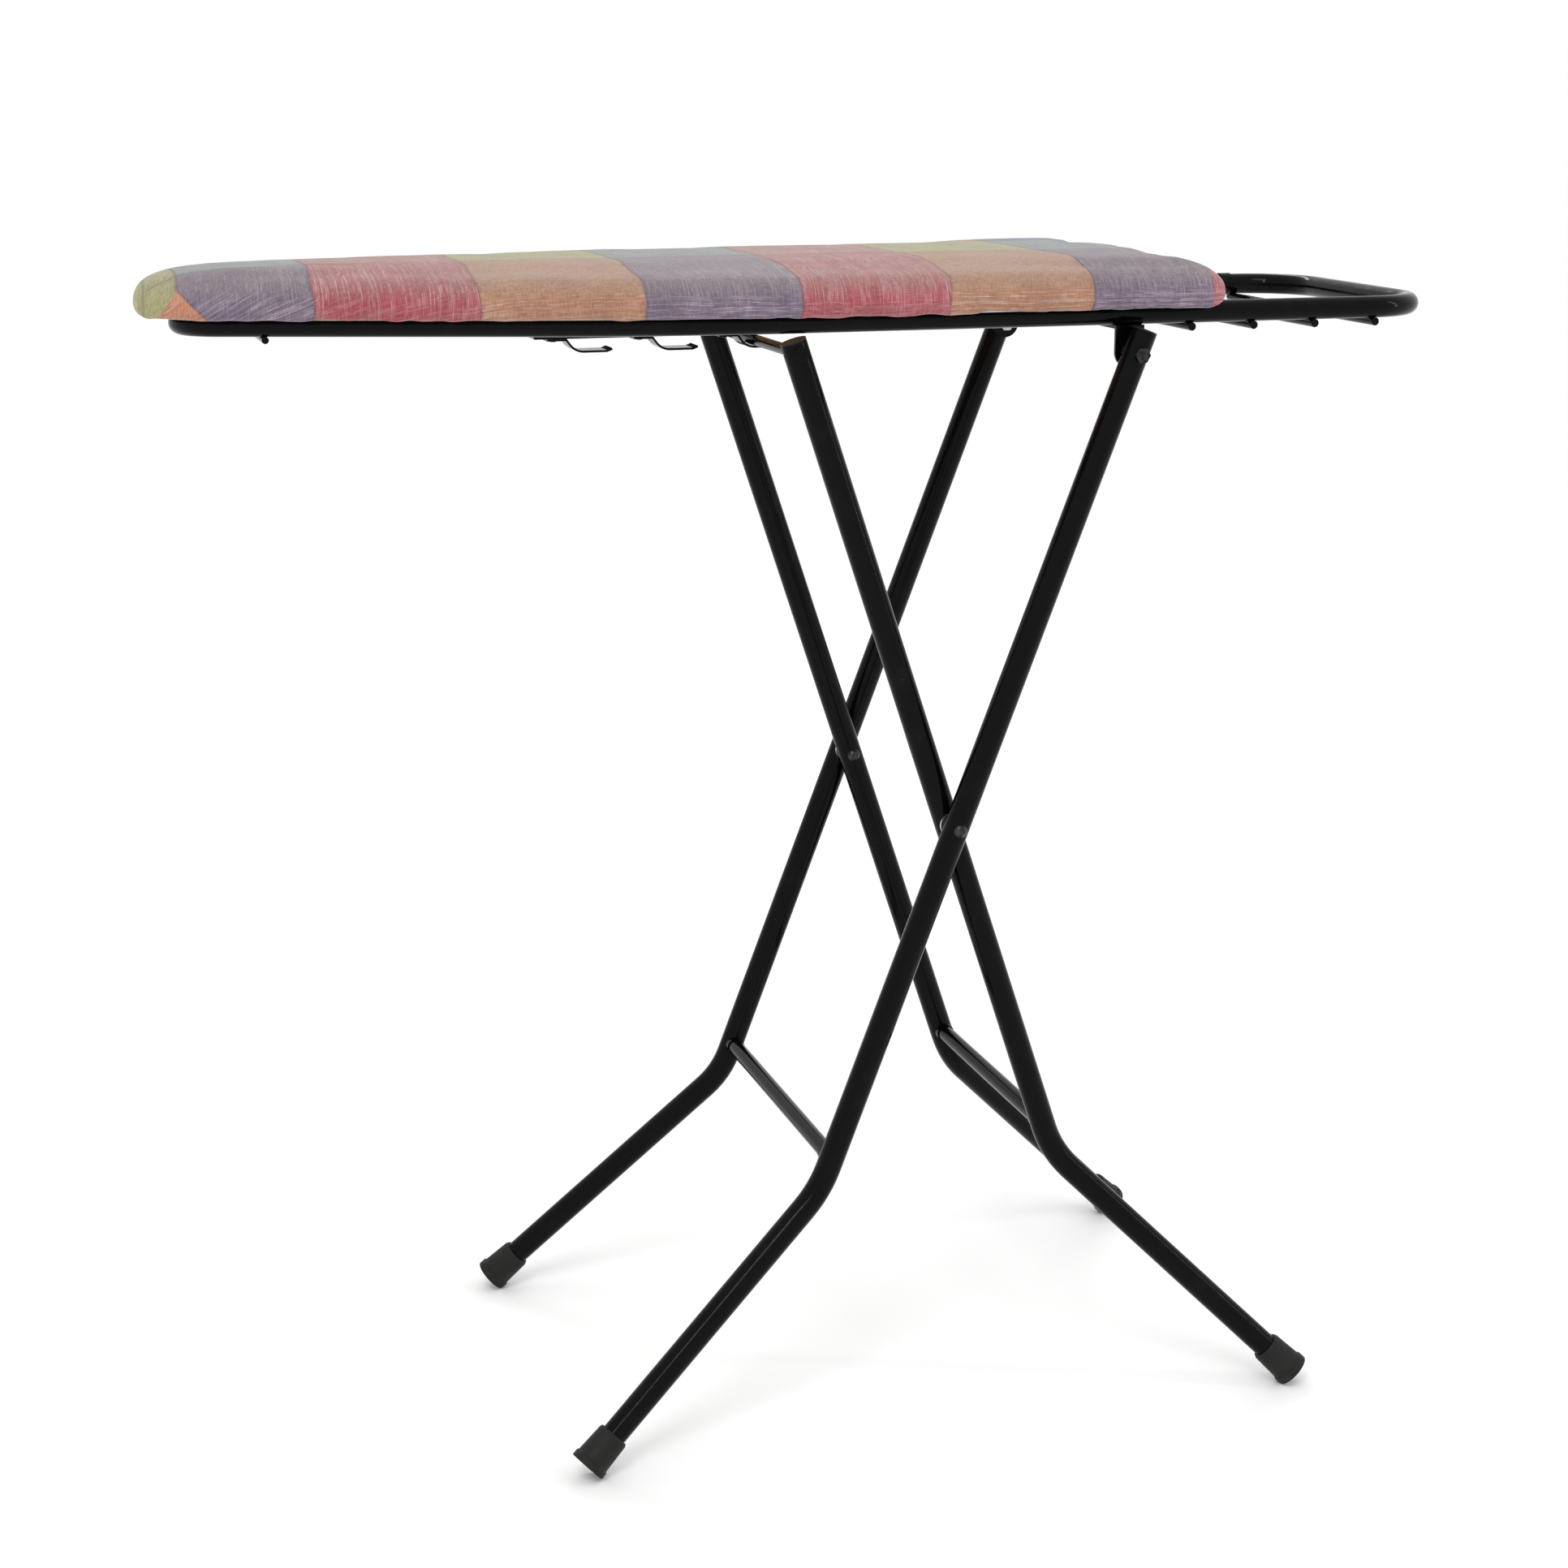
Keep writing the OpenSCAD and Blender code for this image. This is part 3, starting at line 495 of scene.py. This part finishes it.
def closed_cover(name):
    rings = [(grow * MM, HEM_Z + rise * MM) for grow, rise in COVER_PROFILE]
    return lofted(name, rings)


def evaluated_copy(piece):
    graph = bpy.context.evaluated_depsgraph_get()
    mesh = bpy.data.meshes.new_from_object(piece.evaluated_get(graph))
    piece.modifiers.clear()
    piece.data = mesh


def puffed(piece, pressure, cap):
    """Voxel remesh, then a short cloth simulation with air pressure. No point moves further than cap."""
    remesh = piece.modifiers.new("remesh", "REMESH")
    remesh.mode = "VOXEL"
    remesh.voxel_size = VOXEL
    remesh.use_smooth_shade = True
    evaluated_copy(piece)
    rest = [v.co.copy() for v in piece.data.vertices]
    outward = [v.normal.copy() for v in piece.data.vertices]
    held = piece.vertex_groups.new(name="held")
    held.add([v.index for v in piece.data.vertices if v.co.z < HEM_Z + HELD_UP_TO], 1.0, "REPLACE")
    cloth = piece.modifiers.new("cloth", "CLOTH")
    settings = cloth.settings
    settings.quality = 5
    settings.mass = 0.25
    settings.use_pressure = True
    settings.uniform_pressure_force = pressure
    settings.tension_stiffness = 18
    settings.compression_stiffness = 12
    settings.bending_stiffness = 0.4
    settings.shrink_min = -0.012
    settings.vertex_group_mass = "held"
    settings.effector_weights.gravity = 0
    cloth.point_cache.frame_end = SIM_FRAMES
    for step in range(1, SIM_FRAMES + 1):
        bpy.context.scene.frame_set(step)
    evaluated_copy(piece)
    for vertex, start, out in zip(piece.data.vertices, rest, outward):
        moved = vertex.co - start
        # The pad and panel are right behind the cloth, so it can hardly sink in, and it lies flat on top
        sunk = min(moved.dot(out) + SINK, 0)
        moved -= out * sunk
        if edge_place(start) > 0:
            moved.z *= 1 - (1 - TOP_LIFT) * min(edge_place(start) / EDGE_BAND, 1)
        if moved.length > cap:
            moved *= cap / moved.length
        vertex.co = start + moved
    bpy.context.scene.frame_set(1)


def edge_place(point):
    """Distance inside the panel's edge at a point of the plan, from the taper and the straight sides."""
    apex = NOSE_C - NOSE_R / sin(TAPER)
    to_taper = (point.x - apex) * sin(TAPER) - abs(point.y) * cos(TAPER)
    inside = min(HALF_W - abs(point.y), to_taper, panel_high.x - point.x)
    if point.x < NOSE_C and abs(point.y) < NOSE_R * 1.1:
        inside = min(inside, NOSE_R - hypot(point.x - NOSE_C, point.y))
    return inside


def gather(piece):
    """Small folds where the hem pulls the cloth under, and slack along the sides."""
    spots = [vertex.co.copy() for vertex in piece.data.vertices]
    normals = [vertex.normal.copy() for vertex in piece.data.vertices]
    for spot, normal in zip(spots, normals):
        out = max(0.0, 1 - max(edge_place(spot), 0) / (14 * MM))
        if out == 0:
            continue
        low = min(max((TOP_Z - 3 * MM - spot.z) / (26 * MM), 0), 1)
        at = Vector((spot.x * 30, spot.y * 30, 0))
        fold = noise.noise(at) + 0.5 * noise.noise(at * 2.7)
        tight = noise.noise(Vector((spot.x * 85, spot.y * 85, spot.z * 20)))
        hang = noise.noise(Vector((spot.x * 17, spot.y * 17, 3))) * 1.6 * MM * out * low ** 3
        spot += normal * (fold * 1.5 + tight * 0.55 * low) * MM * out * (0.35 + low)
        spot.z += hang
    piece.data.vertices.foreach_set("co", [number for spot in spots for number in spot])
    piece.data.update()


def soften(piece, factor, rounds):
    smooth = piece.modifiers.new("smooth", "SMOOTH")
    smooth.factor = factor
    smooth.iterations = rounds
    evaluated_copy(piece)


def keep_sheet(piece):
    """Opens the closed form underneath, inside the hem, and round each rail at the square end."""
    rail_r = (rail_high.z - rail_low.z) / 2
    rail_y = rail_high.y - rail_r
    bm = bmesh.new()
    bm.from_mesh(piece.data)
    gone = []
    for face in bm.faces:
        middle = face.calc_center_median()
        under = face.normal.z < -0.6 and middle.z < HEM_Z + 4 * MM
        at_rail = (abs(abs(middle.y) - rail_y) < rail_r + 1.5 * MM and middle.z < HEM_Z + 3 * MM
                   and middle.x > panel_high.x - HEM_W - 4 * MM)
        if (under and edge_place(middle) > HEM_W) or at_rail:
            gone.append(face)
    bmesh.ops.delete(bm, geom=gone, context="FACES")
    bm.to_mesh(piece.data)
    bm.free()


def subdivided(piece):
    modifier = piece.modifiers.new("subdivision", "SUBSURF")
    modifier.levels = modifier.render_levels = 1
    evaluated_copy(piece)


def make_cover():
    cover = closed_cover("board_cover")
    puffed(cover, 4.0, MOVE_CAP)
    soften(cover, 0.5, 3)
    subdivided(cover)
    gather(cover)
    keep_sheet(cover)
    cover.data.shade_smooth()
    dress(cover, "cover_fabric")
    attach(cover, "board")
    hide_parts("cover")
    return cover


# Rings of the pad in mm, in the same way, from the pad's underside
PAD_PROFILE = [(-7, 0.2), (-5, 1.6), (-5, 4.6), (-8, 7.8), (-13, 9.8), (-23, 11.2), (-40, 11.6)]


def make_pad():
    """Felt pad between panel and cover."""
    pad = lofted("board_pad", [(grow * MM, pad_low.z + rise * MM) for grow, rise in PAD_PROFILE])
    dress(pad, "pad_felt")
    pad.data.shade_smooth()
    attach(pad, "board")
    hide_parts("pad")
    return pad


# ---- catch bar, whole ----

BAR_R = 4 * MM
BAR_HEAD = 1.6 * MM
BAR_SIDES = 40


def make_bar():
    """The bar across the inner legs. The CAD one is open at its middle, where the linkage is opened."""
    radius = BAR_R
    centre_x = (bar_low.x + bar_high.x) / 2
    centre_z = (bar_low.z + bar_high.z) / 2
    head = BAR_HEAD
    # One end's head, as distance in from the end and radius; the other end is its mirror image
    end = [(0, radius + head * 0.4), (0.4 * MM, radius + head),
           (head, radius + head), (head + 0.05 * MM, radius)]
    sections = [(bar_low.y + inset, r) for inset, r in end]
    sections += [(bar_high.y - inset, r) for inset, r in reversed(end)]
    sides = BAR_SIDES
    bm = bmesh.new()
    rings = []
    for y, r in sections:
        rings.append([bm.verts.new((centre_x + r * cos(2 * pi * k / sides), y,
                                    centre_z + r * sin(2 * pi * k / sides))) for k in range(sides)])
    for low, high in zip(rings, rings[1:]):
        for k in range(sides):
            m = (k + 1) % sides
            bm.faces.new((low[k], low[m], high[m], high[k]))
    bm.faces.new(rings[0])
    bm.faces.new(rings[-1])
    bar = new_mesh("whole_catch_bar", bm)
    bar.data.set_sharp_from_angle(angle=SMOOTH_ANGLE)
    dress(bar, "black_enamel")
    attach(bar, "inner_legs")
    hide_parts("catch_bar")
    return bar


# ---- camera, light and floor ----

SENSOR_MM = 36.0
LENS_MM = 66.4826
CAMERA_PLACE = (-0.6266, -2.0587, 1.0008)
CAMERA_YAW = radians(16.822)
CAMERA_PITCH = radians(14.032)


def make_camera():
    data = bpy.data.cameras.new("camera")
    data.sensor_width = SENSOR_MM
    data.lens = LENS_MM
    data.clip_start = 0.05
    camera = bpy.data.objects.new("camera", data)
    camera.location = CAMERA_PLACE
    camera.rotation_euler = (pi / 2 - CAMERA_PITCH, 0, -CAMERA_YAW)
    bpy.context.scene.collection.objects.link(camera)
    bpy.context.scene.camera = camera


def make_light(name, place, aim, size, power, height=None):
    data = bpy.data.lights.new(name, "AREA")
    data.energy = power
    data.size = size
    if height is not None:
        data.shape = "RECTANGLE"
        data.size_y = height
    light = bpy.data.objects.new(name, data)
    light.location = place
    light.rotation_euler = (Vector(aim) - Vector(place)).to_track_quat("-Z", "Y").to_euler()
    bpy.context.scene.collection.objects.link(light)


def make_sun():
    """Broad even daylight, so that the floor stays pale far out."""
    data = bpy.data.lights.new("daylight", "SUN")
    data.energy = 0.5
    data.angle = radians(24)
    sun = bpy.data.objects.new("daylight", data)
    sun.rotation_euler = (radians(34), radians(-18), 0)
    bpy.context.scene.collection.objects.link(sun)


FLOOR_HALF = 300


def make_stage():
    bm = bmesh.new()
    bmesh.ops.create_grid(bm, x_segments=1, y_segments=1, size=FLOOR_HALF)
    floor = new_mesh("floor", bm)
    s = Shader("floor_paint", Specular_IOR_Level=0.1)
    tone = s.noise(s.place, 3, 3)
    floor.data.materials.append(s.finish(s.mix(tone, (0.88, 0.88, 0.88, 1), (0.90, 0.90, 0.90, 1)), 0.8))
    floor.location.z = -0.5 * MM
    world = bpy.data.worlds.new("studio")
    world.use_nodes = True
    world.node_tree.nodes["Background"].inputs["Color"].default_value = (1.0, 1.0, 1.0, 1)
    world.node_tree.nodes["Background"].inputs["Strength"].default_value = 1.0
    bpy.context.scene.world = world
    bpy.context.scene.view_settings.view_transform = "Standard"


make_camera()
make_stage()
make_sun()
make_light("key", (-1.5, -2.4, 3.0), (0, 0, 0.6), 0.09, 20, 2.2)
make_light("side", (2.6, -1.2, 1.6), (0, 0, 0.5), 0.07, 8, 1.8)
make_light("back", (0.6, 2.6, 2.6), (0, 0, 0.6), 1.8, 14, 0.3)
make_pad()
make_cover()
make_bar()
